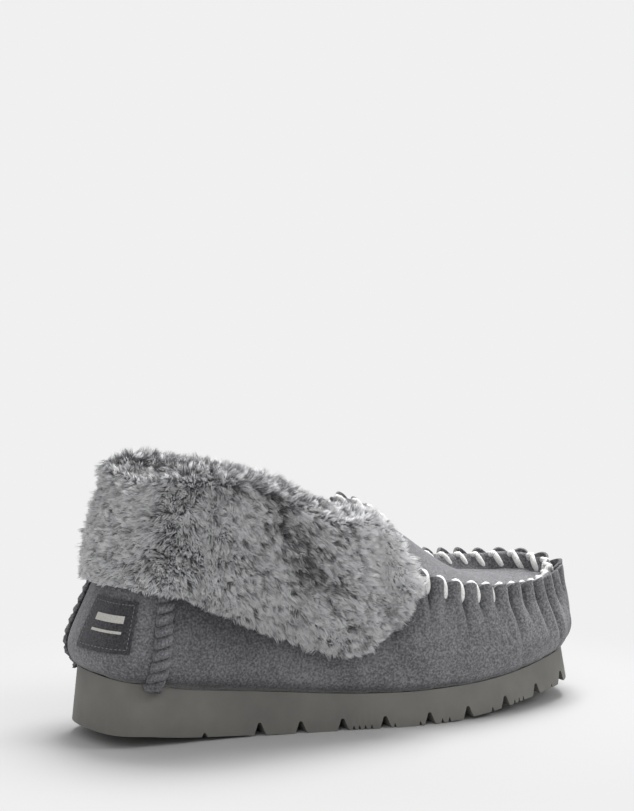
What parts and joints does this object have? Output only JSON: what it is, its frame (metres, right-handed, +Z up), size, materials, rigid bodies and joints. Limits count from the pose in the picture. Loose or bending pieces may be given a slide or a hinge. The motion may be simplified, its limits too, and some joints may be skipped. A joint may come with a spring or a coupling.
{
  "type": "house slipper",
  "caption": "Moccasin house slipper in suede with a turned-down sheepskin collar, whip-laced apron, fleece lining and a notched foam sole.",
  "frame": {"origin": "on the ground under the middle of the outsole", "axes": "+X from heel to toe, +Y towards the big toe's side, +Z up"},
  "size_m": [0.2805, 0.1124, 0.1398],
  "materials": {
    "sole_eva": "warm grey moulded foam, satin",
    "board": "brown fibre board",
    "foam": "off-white cushioning foam",
    "suede": "mid-grey suede with a fine nap",
    "suede_braid": "plaited suede strip, mid-grey",
    "lining_fleece": "short clipped sheepskin pile, grey",
    "cuff_fleece": "long sheepskin pile, mottled grey with pale tips",
    "lacing_cord": "white waxed cord, slight sheen",
    "counter_board": "pale stiffener board",
    "label_patch": "charcoal suede patch, blank",
    "thread": "dark sewing thread",
    "tape": "woven cotton tape, pale grey"
  },
  "bodies": {
    "root": {"outsole": "sole_eva", "insole_board": "board", "footbed_foam": "foam", "fleece_insole": "lining_fleece", "vamp_wall": "suede", "heel_panel": "suede", "apron": "suede", "apron_lacing": "lacing_cord", "wall_lining": "lining_fleece", "heel_lining": "lining_fleece", "apron_lining": "lining_fleece", "heel_counter": "counter_board", "heel_braid_outer": "suede_braid", "heel_braid_inner": "suede_braid", "heel_label": "label_patch", "label_thread": "thread", "cuff_outer": "cuff_fleece", "cuff_heel": "cuff_fleece", "cuff_inner": "cuff_fleece", "topline_tape": "tape"}
  },
  "joints": []
}
